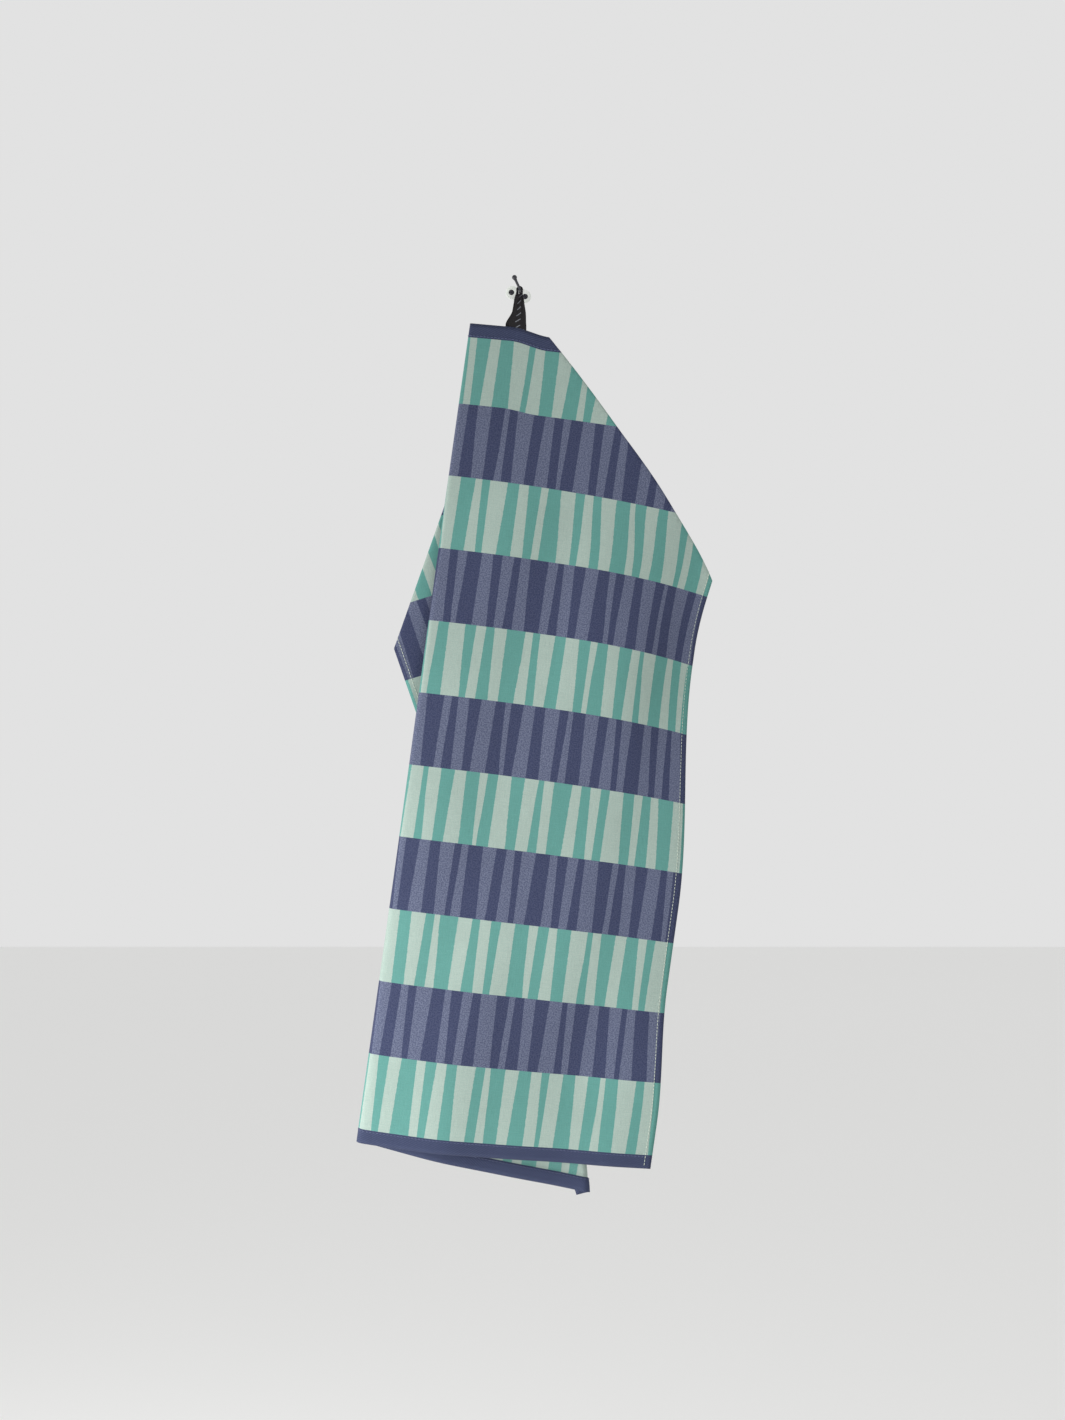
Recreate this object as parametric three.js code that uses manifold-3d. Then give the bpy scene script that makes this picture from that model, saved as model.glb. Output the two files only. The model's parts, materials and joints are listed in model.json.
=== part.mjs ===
// Kitchen towel hung by its tape loop on a small screwed wall hook.
//
// Millimetres, +Z up. The origin is the centre of the hook plate's back face,
// which lies on the wall, the plane Y = 0. The room is on the -Y side.
import * as THREE from "three";
import { mergeVertices } from "three/addons/utils/BufferGeometryUtils.js";
import Module from "manifold-3d";

const wasm = await Module();
wasm.setup();

// ---------------------------------------------------------------- sizes

const clearance = 0.3; // between pieces that touch on the real object
const overrun = 1; // how far a cutter stands out of what it cuts

// wall hook
const plateLength = 22;
const plateWidth = 11;
const plateThick = 2.5;
const plateTilt = -17; // degrees, turned on the wall like the real one
const screwSpacing = 12.2;
const screwHeadRadius = 2.1;
const screwShankRadius = 1.2;
const screwHeadDepth = 1.3;
const screwRimDepth = 0.8; // straight part of the head, before its cone
const screwConeRadius = 1.5; // where the cone meets the shank
const slotTurn = 35; // degrees, each slot the other way
const slotWidth = 0.6;
const slotDepth = 0.5;
const rodRadius = 1.1;
const armOutset = 15.5; // straight stretch of the arm, from the wall
const bendBefore = 0.5; // the bend starts this far before the end of that stretch
const bendAfter = 3.5; // and ends this far up the rise to the tip
const bendBulge = 1.5; // its control point lies this far past the stretch
const tipOutset = 23; // ball centre, from the wall
const armX = 1.2;
const armZ = 2.2;
const tipX = -3.1;
const tipZ = 10.1;
const ballRadius = 2.1;
const ballBoreDepth = 1.4;

// hanging loop
const tapeThick = 0.8;
const tapeWidth = 15; // at the hem
const crownWidth = 7; // gathered over the arm
const loopY = -11.4; // middle of the loop and of the hem it is sewn in
const loopMouth = 6; // widest opening between the legs
const mouthDepth = 6; // where it is that wide, below the arm
const crownHold = 10; // below this depth the legs start to turn
const legGap = 0.6; // between the legs at the hem
const legStagger = 3; // the rear leg stands this far to the left at the hem
const loopLeftOfArm = 2.3; // the sewn ends' middle, along the hem

// towel, cut flat 470 by 700 and hung with its long sides folded behind
const towelWidth = 470;
const towelLength = 700;
const frontWidth = 250; // from the left fold to the front selvedge
const hemDepth = 12;
const foldLean = 7.9; // degrees, left fold against the vertical
const hemSlope = 6; // degrees, hem against the horizontal
const leftOfArm = 41.9; // left end of the top hem, to the left of the arm
const hangDrop = 29.2; // left end of the top hem, below the arm's centre line
const cornerTop = 62; // fold of the right corner at the hem, from the left fold
const cornerDepth = 182; // down the front selvedge to the same fold
const backTop = 36; // inner fold at the hem, from the left fold
const backReturn = 20; // cloth turned back past the same fold at the bottom
const backCorner = 228; // down the rear selvedge to its turned corner
const backDroop = 0.13; // the rear layers' foot hangs this much lower per mm across
const layerThick = 1.2;
const layerPitch = 1.8;
const hemThick = 2.6;
const swayAcross = 0.03; // layers stand this much nearer the wall per mm across

const degrees = Math.PI / 180;

// ---------------------------------------------------------------- helpers

function toSolid(geometry) {
  const clean = geometry.clone();
  clean.deleteAttribute("normal");
  clean.deleteAttribute("uv");
  const merged = mergeVertices(clean, 1e-4);
  return new wasm.Manifold(new wasm.Mesh({
    numProp: 3,
    vertProperties: new Float32Array(merged.attributes.position.array),
    triVerts: new Uint32Array(merged.index.array),
  }));
}

function toGeometry(solid) {
  const mesh = solid.getMesh();
  const geometry = new THREE.BufferGeometry();
  geometry.setAttribute("position", new THREE.BufferAttribute(mesh.vertProperties, 3));
  geometry.setIndex(new THREE.BufferAttribute(mesh.triVerts, 1));
  return geometry;
}

function subtract(geometry, ...cutters) {
  let solid = toSolid(geometry);
  for (const cutter of cutters) {
    solid = solid.subtract(toSolid(cutter));
  }
  return toGeometry(solid);
}

function named(name, geometry, material) {
  const mesh = new THREE.Mesh(geometry, material);
  mesh.name = name;
  return mesh;
}

function finish(color, roughness, metalness = 0) {
  return new THREE.MeshStandardMaterial({ color, roughness, metalness });
}

// A cylinder along Y, from one Y to another.
function rodAlongY(radius, fromY, toY, x, z, sides = 24) {
  const geometry = new THREE.CylinderGeometry(radius, radius, Math.abs(toY - fromY), sides);
  geometry.translate(x, (fromY + toY) / 2, z);
  return geometry;
}

// ---------------------------------------------------------------- hook

function hookPlate() {
  const end = plateWidth / 2;
  const straight = plateLength / 2 - end;
  const outline = new THREE.Shape();
  outline.absarc(straight, 0, end, -Math.PI / 2, Math.PI / 2, false);
  outline.absarc(-straight, 0, end, Math.PI / 2, 1.5 * Math.PI, false);
  const plate = new THREE.ExtrudeGeometry(outline, {
    depth: plateThick,
    bevelEnabled: false,
    curveSegments: 16,
  });
  plate.rotateX(Math.PI / 2);
  const cuts = [-1, 1].flatMap((side) => {
    const x = side * screwSpacing / 2;
    const head = screwHeadRadius + clearance;
    return [
      rodAlongY(head, -plateThick - overrun, -plateThick + screwHeadDepth + clearance, x, 0),
      rodAlongY(screwShankRadius + clearance, -plateThick - overrun, overrun, x, 0),
    ];
  });
  const turn = plateTilt * degrees;
  const local = new THREE.Vector3(armX, 0, armZ).applyAxisAngle(new THREE.Vector3(0, 1, 0), turn);
  cuts.push(rodAlongY(rodRadius + clearance, -plateThick - overrun, overrun, local.x, local.z));
  const geometry = subtract(plate, ...cuts);
  geometry.rotateY(-turn);
  return geometry;
}

function screw(side) {
  const faceY = -plateThick;
  const profile = [
    new THREE.Vector2(0, 0),
    new THREE.Vector2(screwHeadRadius, 0),
    new THREE.Vector2(screwHeadRadius, screwRimDepth),
    new THREE.Vector2(screwConeRadius, screwHeadDepth),
    new THREE.Vector2(0, screwHeadDepth),
  ];
  const head = new THREE.LatheGeometry(profile, 24);
  // the lathe stands along +Y, so the head's crown turns to face the room
  head.rotateX(Math.PI);
  head.translate(0, faceY + screwHeadDepth, 0);
  const shank = rodAlongY(screwShankRadius, faceY + screwHeadDepth / 2, 0, 0, 0);
  const slotLength = 2 * (screwHeadRadius + overrun);
  const slot = new THREE.BoxGeometry(slotLength, 2 * slotDepth, slotWidth);
  slot.rotateY(slotTurn * side * degrees);
  slot.translate(0, faceY, 0);
  const body = toSolid(head).add(toSolid(shank)).subtract(toSolid(slot));
  const geometry = toGeometry(body);
  geometry.translate(side * screwSpacing / 2, 0, 0);
  geometry.rotateY(-plateTilt * degrees);
  return geometry;
}

function armCurve(endGap) {
  const root = new THREE.Vector3(armX, -clearance, armZ);
  const elbow = new THREE.Vector3(armX, -armOutset, armZ);
  const ball = new THREE.Vector3(tipX, -tipOutset, tipZ);
  const rise = ball.clone().sub(elbow).normalize();
  const tip = ball.clone().addScaledVector(rise, -endGap);
  const beforeBend = new THREE.Vector3(armX, -armOutset + bendBefore, armZ);
  const bulge = new THREE.Vector3(armX, -armOutset - bendBulge, armZ);
  const afterBend = elbow.clone().addScaledVector(rise, bendAfter);
  const path = new THREE.CurvePath();
  path.add(new THREE.LineCurve3(root, beforeBend));
  path.add(new THREE.QuadraticBezierCurve3(beforeBend, bulge, afterBend));
  path.add(new THREE.LineCurve3(afterBend, tip));
  return path;
}

function hookArm() {
  const circle = new THREE.Shape();
  circle.absarc(0, 0, rodRadius, 0, 2 * Math.PI, false);
  return new THREE.ExtrudeGeometry(circle, {
    steps: 40,
    curveSegments: 10,
    extrudePath: armCurve(ballRadius - ballBoreDepth + clearance),
    bevelEnabled: false,
  });
}

function ballTip() {
  const ball = new THREE.SphereGeometry(ballRadius, 24, 16);
  const boreRadius = rodRadius + clearance;
  const bore = new THREE.CylinderGeometry(boreRadius, boreRadius, 2 * ballRadius, 20);
  bore.translate(0, -ballRadius - (ballRadius - ballBoreDepth), 0);
  const rise = new THREE.Vector3(tipX - armX, -tipOutset + armOutset, tipZ - armZ).normalize();
  const geometry = subtract(ball, bore);
  const up = new THREE.Vector3(0, 1, 0);
  geometry.applyQuaternion(new THREE.Quaternion().setFromUnitVectors(up, rise));
  geometry.translate(tipX, -tipOutset, tipZ);
  return geometry;
}

// ---------------------------------------------------------------- towel frame

// Across runs along the hem from the left fold; down runs along the left fold.
const across = new THREE.Vector3(Math.cos(hemSlope * degrees), 0, -Math.sin(hemSlope * degrees));
const down = new THREE.Vector3(-Math.sin(foldLean * degrees), 0, -Math.cos(foldLean * degrees));
const hemCorner = new THREE.Vector3(armX - leftOfArm, 0, armZ - hangDrop);
const layers = 5;
const hemStack = (layers - 1) * layerPitch + layerThick;
const hemRadius = hemStack / 2;

function towelPoint(s, v, y) {
  return hemCorner.clone().addScaledVector(across, s).addScaledVector(down, v).setY(y);
}

// Places a shape drawn with x across and y up into one leaning layer of the towel. Layer 0 is
// the nearest to the room; fall is how far the layer comes out per mm of its length.
function layerMatrix(layer, fall) {
  const rear = loopY - hemRadius + layer * layerPitch + layerThick;
  return new THREE.Matrix4().set(
    across.x, -down.x, 0, hemCorner.x,
    swayAcross, fall, -1, rear,
    across.z, -down.z, 0, hemCorner.z,
    0, 0, 0, 1,
  );
}

function clothLayer(corners, layer, fall, thick = layerThick) {
  const outline = new THREE.Shape(corners.map(([s, v]) => new THREE.Vector2(s, -v)));
  const geometry = new THREE.ExtrudeGeometry(outline, { depth: thick, bevelEnabled: false });
  geometry.applyMatrix4(layerMatrix(layer, fall));
  return geometry;
}

// Where a corner of the cloth lies after it is folded over the line from one point to another.
function foldOver([s, v], [s0, v0], [s1, v1]) {
  const line = new THREE.Vector2(s1 - s0, v1 - v0).normalize();
  const arm = new THREE.Vector2(s - s0, v - v0);
  const along = 2 * arm.dot(line);
  return [s0 + along * line.x - arm.x, v0 + along * line.y - arm.y];
}

// A point of a rear layer, which droops more the further it is across and down.
function drooped([s, v]) {
  return [s, v + backDroop * s * v / towelLength];
}

const backWidth = towelWidth - frontWidth;
const top = hemDepth + clearance;
const bottom = towelLength - hemDepth - clearance;

// How far the layers, nearest the room first, come out per mm of their length.
const falls = [0.028, 0.024, 0.018, 0.009, 0.004];

// A point part of the way along a straight edge, at a given length v down the towel.
function atLength([s0, v0], [s1, v1], v) {
  return [s0 + (s1 - s0) * (v - v0) / (v1 - v0), v];
}

const turnStart = [cornerTop, 0];
const turnEnd = [frontWidth, cornerDepth];
const innerStart = [backTop, 0];
const innerEnd = [backWidth - backReturn, towelLength];
const rearCorner = foldOver([backWidth, backCorner], innerStart, innerEnd);
const rearFoot = foldOver([backWidth, towelLength], innerStart, innerEnd);
const rearTurned = foldOver(foldOver([backWidth, 0], innerStart, innerEnd), innerStart, rearCorner);

function frontFall() {
  return clothLayer([
    [0, top],
    [0, bottom],
    [frontWidth, bottom],
    turnEnd,
    atLength(turnStart, turnEnd, top),
  ], 0, falls[0]);
}

function frontCornerFlap() {
  const corner = foldOver([frontWidth, 0], turnStart, turnEnd);
  return clothLayer([
    atLength(turnStart, turnEnd, top),
    atLength(turnStart, corner, top),
    corner,
    turnEnd,
  ], 1, falls[1]);
}

function innerFall() {
  return clothLayer([
    [0, top],
    [0, bottom],
    drooped(atLength(innerStart, innerEnd, bottom)),
    atLength(innerStart, innerEnd, top),
  ], 2, falls[2]);
}

function rearFall() {
  return clothLayer([
    atLength(innerStart, rearCorner, top),
    rearCorner,
    drooped(rearFoot),
    drooped(innerEnd),
    atLength(innerStart, innerEnd, top),
  ], 3, falls[3]);
}

function rearCornerFlap() {
  return clothLayer([
    atLength(innerStart, rearTurned, top),
    atLength(innerStart, rearCorner, top),
    rearCorner,
    rearTurned,
  ], 4, falls[4]);
}

function bottomHem(rightEnd, layer, fall) {
  const [width, foot] = rightEnd;
  return clothLayer([
    [0, towelLength - hemDepth],
    [0, towelLength],
    [width, foot],
    [width, foot - hemDepth],
  ], layer, fall, hemThick);
}

// The gathered top hem: all the layers side by side, rounded over where the cloth is turned.
function topHem() {
  const section = new THREE.Shape();
  section.moveTo(-hemRadius, -hemDepth);
  section.lineTo(hemRadius, -hemDepth);
  section.absarc(0, -hemRadius, hemRadius, 0, Math.PI, false);
  const geometry = new THREE.ExtrudeGeometry(section, {
    depth: atLength(turnStart, turnEnd, hemDepth)[0],
    bevelEnabled: false,
    curveSegments: 20,
  });
  geometry.applyMatrix4(new THREE.Matrix4().set(
    0, -down.x, across.x, hemCorner.x,
    1, 0, 0, loopY,
    0, -down.z, across.z, hemCorner.z,
    0, 0, 0, 1,
  ));
  return geometry;
}

// ---------------------------------------------------------------- hanging loop

const smooth = (x) => THREE.MathUtils.smoothstep(x, 0, 1);
const loopAt = leftOfArm - loopLeftOfArm; // along the hem, from the left fold
const crownHalf = rodRadius + clearance + tapeThick / 2; // middle of the tape over the arm
const legSteps = 16;
const crownSteps = 10;

// The middle line and section of one leg of the tape at a depth below the arm's centre line.
function legSection(side, depth, legLength) {
  const turnShare = smooth((depth - crownHold) / (legLength - crownHold));
  const turned = turnShare * Math.PI / 2;
  const open = smooth(depth / mouthDepth);
  const mouthHalf = (loopMouth + tapeThick) / 2;
  const seamHalf = (legGap + tapeThick) / 2;
  const spread = THREE.MathUtils.lerp(crownHalf, mouthHalf, open);
  const half = THREE.MathUtils.lerp(spread, seamHalf, turnShare);
  const normal = new THREE.Vector3(Math.cos(turned), -Math.sin(turned), 0);
  const widthwise = new THREE.Vector3(Math.sin(turned), Math.cos(turned), 0);
  const share = smooth(depth / legLength);
  const width = THREE.MathUtils.lerp(crownWidth, tapeWidth, share);
  const seam = towelPoint(loopAt, 0, loopY);
  const middle = new THREE.Vector3(THREE.MathUtils.lerp(armX, seam.x, share), loopY, armZ - depth);
  middle.addScaledVector(normal, side * half);
  middle.addScaledVector(widthwise, side * share * legStagger / 2);
  return { middle, normal: normal.multiplyScalar(side), widthwise: widthwise.negate(), width };
}

// Four corners of the tape's section, given its middle, outward normal and width direction.
function ring({ middle, normal, widthwise, width }, slope = 0) {
  const corners = [[1, -1], [1, 1], [-1, 1], [-1, -1]];
  return corners.map(([out, along]) => {
    const corner = middle.clone()
      .addScaledVector(normal, out * tapeThick / 2)
      .addScaledVector(widthwise, along * width / 2);
    corner.z -= slope * (corner.x - middle.x);
    return corner;
  });
}

// Joins rings of four corners into one closed solid.
function loft(rings) {
  const positions = rings.flat().flatMap((corner) => corner.toArray());
  const index = [];
  for (let i = 0; i < rings.length - 1; i += 1) {
    for (let k = 0; k < 4; k += 1) {
      const a = 4 * i + k;
      const b = 4 * i + (k + 1) % 4;
      index.push(a, b, a + 4);
      index.push(b, b + 4, a + 4);
    }
  }
  const last = 4 * (rings.length - 1);
  index.push(0, 2, 1, 0, 3, 2);
  index.push(last, last + 1, last + 2, last, last + 2, last + 3);
  const geometry = new THREE.BufferGeometry();
  geometry.setAttribute("position", new THREE.Float32BufferAttribute(positions, 3));
  geometry.setIndex(index);
  return geometry;
}

function hangingLoop() {
  const seam = towelPoint(loopAt, 0, loopY);
  const legLength = armZ - seam.z - clearance;
  const slope = Math.tan(hemSlope * degrees);
  const legRing = (side, share) => {
    const section = legSection(side, share * legLength, legLength);
    return ring(section, share * slope);
  };
  const rings = [];
  for (let i = 0; i <= legSteps; i += 1) {
    rings.push(legRing(-1, 1 - i / legSteps));
  }
  for (let i = 1; i < crownSteps; i += 1) {
    const angle = Math.PI * (1 - i / crownSteps);
    const normal = new THREE.Vector3(Math.cos(angle), 0, Math.sin(angle));
    const widthwise = new THREE.Vector3(0, -1, 0);
    const middle = new THREE.Vector3(armX, loopY, armZ).addScaledVector(normal, crownHalf);
    rings.push(ring({ middle, normal, widthwise, width: crownWidth }));
  }
  for (let i = 0; i <= legSteps; i += 1) {
    rings.push(legRing(1, i / legSteps));
  }
  return loft(rings);
}

// ---------------------------------------------------------------- assembly

const blackMetal = () => finish(0x26262c, 0.4, 0.9);
const paleMetal = () => finish(0xd9dcd6, 0.45, 0.3);
const tape = () => finish(0x2a2826, 0.85);
const navyCloth = () => finish(0x48507a, 0.9);
const tealCloth = () => finish(0x62a898, 0.9);

const group = new THREE.Group();
group.add(named("hook_plate", hookPlate(), paleMetal()));
group.add(named("left_screw", screw(-1), blackMetal()));
group.add(named("right_screw", screw(1), blackMetal()));
group.add(named("hook_arm", hookArm(), blackMetal()));
group.add(named("ball_tip", ballTip(), blackMetal()));
group.add(named("hanging_loop", hangingLoop(), tape()));
group.add(named("top_hem", topHem(), navyCloth()));
group.add(named("front_fall", frontFall(), tealCloth()));
group.add(named("front_corner_flap", frontCornerFlap(), tealCloth()));
group.add(named("inner_fall", innerFall(), tealCloth()));
group.add(named("rear_fall", rearFall(), tealCloth()));
group.add(named("rear_corner_flap", rearCornerFlap(), tealCloth()));
group.add(named("front_bottom_hem", bottomHem([frontWidth, towelLength], 0, falls[0]), navyCloth()));
group.add(named("inner_bottom_hem", bottomHem(drooped(innerEnd), 2, falls[2]), navyCloth()));

export default group;
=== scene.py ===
# %% [markdown]
# # A kitchen towel on a small wall hook
# The towel is one woven cloth, 470 by 700 mm, with teal, beige and navy bands. A black tape loop
# in its top hem hangs on a little black hook that is screwed to the wall through a pale plate.
# The imported frame gives every size and place. This script only dresses it: cloth, tape, thread
# and metal are built around the frame's solids, and all but the tape move with its bodies.

# %% Load the imported frame
import json
import math
import bmesh
import bpy
import numpy as np
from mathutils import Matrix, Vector


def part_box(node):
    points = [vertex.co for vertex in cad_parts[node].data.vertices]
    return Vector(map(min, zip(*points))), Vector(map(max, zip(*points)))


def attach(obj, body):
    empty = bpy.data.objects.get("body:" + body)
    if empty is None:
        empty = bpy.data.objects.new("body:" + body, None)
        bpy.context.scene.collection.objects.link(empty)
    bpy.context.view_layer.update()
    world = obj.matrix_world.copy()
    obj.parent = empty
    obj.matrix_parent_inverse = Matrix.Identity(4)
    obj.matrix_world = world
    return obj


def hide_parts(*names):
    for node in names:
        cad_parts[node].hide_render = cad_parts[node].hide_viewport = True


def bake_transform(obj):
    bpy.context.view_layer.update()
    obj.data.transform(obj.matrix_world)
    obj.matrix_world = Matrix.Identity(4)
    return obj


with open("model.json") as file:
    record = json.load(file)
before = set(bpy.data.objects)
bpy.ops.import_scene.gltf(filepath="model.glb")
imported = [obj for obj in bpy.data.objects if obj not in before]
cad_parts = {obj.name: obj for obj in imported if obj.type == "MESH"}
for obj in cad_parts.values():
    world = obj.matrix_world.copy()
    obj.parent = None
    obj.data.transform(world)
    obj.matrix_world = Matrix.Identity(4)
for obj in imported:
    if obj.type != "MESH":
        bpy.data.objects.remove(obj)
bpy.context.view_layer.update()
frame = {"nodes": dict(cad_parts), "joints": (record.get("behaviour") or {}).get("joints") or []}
MM = 0.001
joints = {joint["name"]: joint for joint in frame["joints"]}

# %% [markdown]
# ## Camera
# The towel is seen straight on, with no tilt, from a little under two metres. A straight-on
# camera keeps the hem's slope and the fold's lean true. A lens of normal length would also do
# from nearer by, but it would make the lower hem look wider than the upper one.

# %% Set the camera
LENS = 52
LONG_SIDE = 36
SEEN_HEIGHT = 1.2
VIEW_X, VIEW_Z = 0.0121, -0.3548
PANEL_Y = -0.020

camera_data = bpy.data.cameras.new("camera")
camera_data.lens = LENS
camera_data.sensor_width = LONG_SIDE
camera = bpy.data.objects.new("camera", camera_data)
distance = SEEN_HEIGHT * LENS / LONG_SIDE
camera.location = (VIEW_X, PANEL_Y - distance, VIEW_Z)
camera.rotation_euler = (math.pi / 2, 0, 0)
bpy.context.scene.collection.objects.link(camera)
bpy.context.scene.camera = camera
print("camera is", round(distance, 2), "m from the towel")

# %% [markdown]
# ## Studio
# A hung towel needs only an even, pale room. A strong lamp stands low at the left and grazes the
# cloth, so that the lower bands are brighter than the upper ones and the folds and the weave show
# relief. A weak one low at the right softens its shadows, and a pale world does the rest.

# %% Make the floor, the lamps and the world
FLOOR_Z = -1.25
FLOOR_SIZE = 12


def pale_surface(name, colour):
    """A matt painted surface with a very faint mottle."""
    material = bpy.data.materials.new(name)
    material.use_nodes = True
    nodes, links = material.node_tree.nodes, material.node_tree.links
    shader = nodes["Principled BSDF"]
    shader.inputs["Roughness"].default_value = 0.9
    noise = nodes.new("ShaderNodeTexNoise")
    noise.inputs["Scale"].default_value = 3
    ramp = nodes.new("ShaderNodeValToRGB")
    ramp.color_ramp.elements[0].color = [0.97 * c for c in colour] + [1]
    ramp.color_ramp.elements[1].color = list(colour) + [1]
    links.new(noise.outputs["Fac"], ramp.inputs["Fac"])
    links.new(ramp.outputs["Color"], shader.inputs["Base Color"])
    return material


def soft_lamp(name, place, target, size, watts):
    """A square area lamp that faces a target."""
    data = bpy.data.lights.new(name, "AREA")
    data.size = size
    data.energy = watts
    lamp = bpy.data.objects.new(name, data)
    lamp.location = place
    lamp.rotation_euler = (Vector(target) - Vector(place)).to_track_quat("-Z", "Y").to_euler()
    bpy.context.scene.collection.objects.link(lamp)


floor_mesh = bpy.data.meshes.new("floor")
half = FLOOR_SIZE / 2
floor_mesh.from_pydata(
    [(-half, -half, FLOOR_Z), (half, -half, FLOOR_Z), (half, half, FLOOR_Z), (-half, half, FLOOR_Z)],
    [], [(0, 1, 2, 3)])
floor = bpy.data.objects.new("floor", floor_mesh)
floor.data.materials.append(pale_surface("floor_paint", (0.92, 0.92, 0.91)))
bpy.context.scene.collection.objects.link(floor)

soft_lamp("low_left_lamp", (-1.0, -0.5, -0.85), (0, 0, -0.6), 0.5, 17)
soft_lamp("low_right_lamp", (0.8, -1.2, -0.8), (0, 0, -0.55), 0.9, 3.5)

world = bpy.data.worlds.new("pale_room")
world.use_nodes = True
world.node_tree.nodes["Background"].inputs["Color"].default_value = (1, 1, 1, 1)
world.node_tree.nodes["Background"].inputs["Strength"].default_value = 0.76
bpy.context.scene.world = world
bpy.context.scene.view_settings.view_transform = "Standard"

# %% [markdown]
# ## The towel's own coordinates
# A piece of cloth is easiest to think of flat: u runs across it from the left edge and v runs
# down it from the top hem, both in millimetres. Every stripe, hem and stitch is placed in u and
# v. One function then says where a flat point ends up on the hung towel. The frame's seam joint
# gives the place and the slope of the top hem.

# %% Take the hem's place and direction from the frame
CLOTH_WIDTH, CLOTH_LENGTH = 470.0, 700.0
FRONT_WIDTH = 250.0
HEM = 12.0
SIDE_HEM = 7.0
SEAM_AT = 39.6
HEM_ROUND = 4.2
FOLD_LEAN = math.radians(7.9)

seam = np.array(joints["towel_lift"]["pos_m"]) / MM
across = -np.array(joints["towel_lift"]["axis"])
down = np.array([-math.sin(FOLD_LEAN), 0.0, -math.cos(FOLD_LEAN)])
corner = seam - across * SEAM_AT - down * HEM_ROUND
LEFT_FOLD = CLOTH_WIDTH - FRONT_WIDTH
print("left end of the hem, mm:", corner.round(1))

# %% [markdown]
# ## Folding
# The towel hangs from one point of its hem, so both of its loose sides swing behind, and it
# falls into flat folds like paper. Cloth simulation could find such folds, but not these ones:
# they depend on how the towel was hung up. So each fold is given as a rounded bend along
# a straight crease. A point past the crease goes round a small half circle and then back the
# other way. The bends get wider further down, so that the layers stand apart as on the real one.

# %% Bend flat points round the creases
# Each crease on the flat cloth: its start, its end and a point on the side that is folded over.
RIGHT_CORNER = ((LEFT_FOLD + 66, 0), (CLOTH_WIDTH, 180), (CLOTH_WIDTH, 0))
REAR_CORNER = ((179, 0), (0, 228), (0, 0))
INNER_CREASE = ((184, 0), (20, CLOTH_LENGTH), (0, CLOTH_LENGTH))
LEFT_CREASE = ((LEFT_FOLD, 0), (LEFT_FOLD, CLOTH_LENGTH), (0, 0))

# Each bend's radius at the hem, and how much it grows per mm down the towel.
CORNER_BEND = (0.9, 0.0025)
INNER_BEND = (0.9, 0.0045)
LEFT_BEND = (1.8, 0.0050)
TO_FACE, TO_REVERSE = 1, -1


def crease_frame(points, crease):
    """The start and the two directions of a crease, and how far along and past it points lie."""
    start, end, folded_side = (np.array(point, float) for point in crease)
    along = (end - start) / np.linalg.norm(end - start)
    out = np.array([-along[1], along[0]])
    if (folded_side - start) @ out < 0:
        out = -out
    arm = points - start
    return start, along, out, arm @ along, arm @ out


def bend(points, lift, crease, size, side, moves, rigid, early=0):
    """Folds the points that move by half a turn; rigid ones go over even short of the crease."""
    start, along, out, length, past = crease_frame(points, crease)
    radius = size[0] + size[1] * np.clip(points[:, 1], 0, CLOTH_LENGTH)
    past = past + early * radius
    turn = np.where(rigid, math.pi, np.clip(past / radius, 0, math.pi))
    straight = past - math.pi * radius
    straight = np.where(rigid, straight, np.maximum(straight, 0))
    new_past = (radius - side * lift) * np.sin(turn) - straight
    new_lift = side * radius - (side * radius - lift) * np.cos(turn)
    bends = moves & (rigid | (past > 0))
    past = np.where(bends, new_past, past) - early * radius
    lift = np.where(bends, new_lift, lift)
    return start + length[:, None] * along + past[:, None] * out, lift


def fold(flat, lift):
    """Folds flat cloth points, and their height above its face, the way the towel hangs."""
    front = flat[:, 0] >= LEFT_FOLD
    none = np.zeros(len(flat), bool)
    in_corner = ~front & (crease_frame(flat, REAR_CORNER)[4] > 0)
    past_inner = ~front & (crease_frame(flat, INNER_CREASE)[4] > 0)
    points, lift = bend(flat, lift, RIGHT_CORNER, CORNER_BEND, TO_REVERSE, front, none)
    points, lift = bend(points, lift, REAR_CORNER, CORNER_BEND, TO_REVERSE, ~front, none)
    points, lift = bend(points, lift, INNER_CREASE, INNER_BEND, TO_FACE, past_inner, in_corner)
    return bend(points, lift, LEFT_CREASE, LEFT_BEND, TO_REVERSE, ~none, past_inner, early=1)


# %% [markdown]
# ## Hanging
# The folded cloth is still flat after that. Hanging sets it into the frame: the hem slopes, the
# left fold leans, the upper right corner droops and turns away, and long shallow flutes run
# down from the gathered hem. They are small sums of sines, so that the result is the same every
# time and all the layers move together without cutting through each other.

# %% Set folded points into the frame
FRONT_Y = -15.0
FALL = -0.028
SWAY = 0.03
DROOP_AT_CORNER, DROOP_PER_MM, CORNER_V = -15.0, 0.041, 192.0
HEM_ARCH, SHOULDER, SHOULDER_IN = 0.022, 4.5, 4.5
REAR_DROOP = 0.13
CURL = 25.0
LEFT_ROLL, ROLL_WIDTH = 16.0, 80.0
# Where the shoulder starts and ends along the hem, and where it fades out below, in mm.
SHOULDER_ALONG, SHOULDER_FADES = (35, 68), (30, 110)
# Where the curl of the right side comes in and goes down the towel, and where it starts across.
CURL_COMES, CURL_EASES, CURL_ENDS, CURL_FROM = (60, 240), (255, 470), (540, 660), 110
# Where the left roll comes in, and where the layers open out, down the towel.
ROLL_COMES, LAYERS_OPEN = (130, 480), (10, 260)


def rise(x, start, end):
    """0 before start, 1 after end, and a smooth step between them."""
    x = np.clip((x - start) / (end - start), 0, 1)
    return x * x * (3 - 2 * x)


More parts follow.
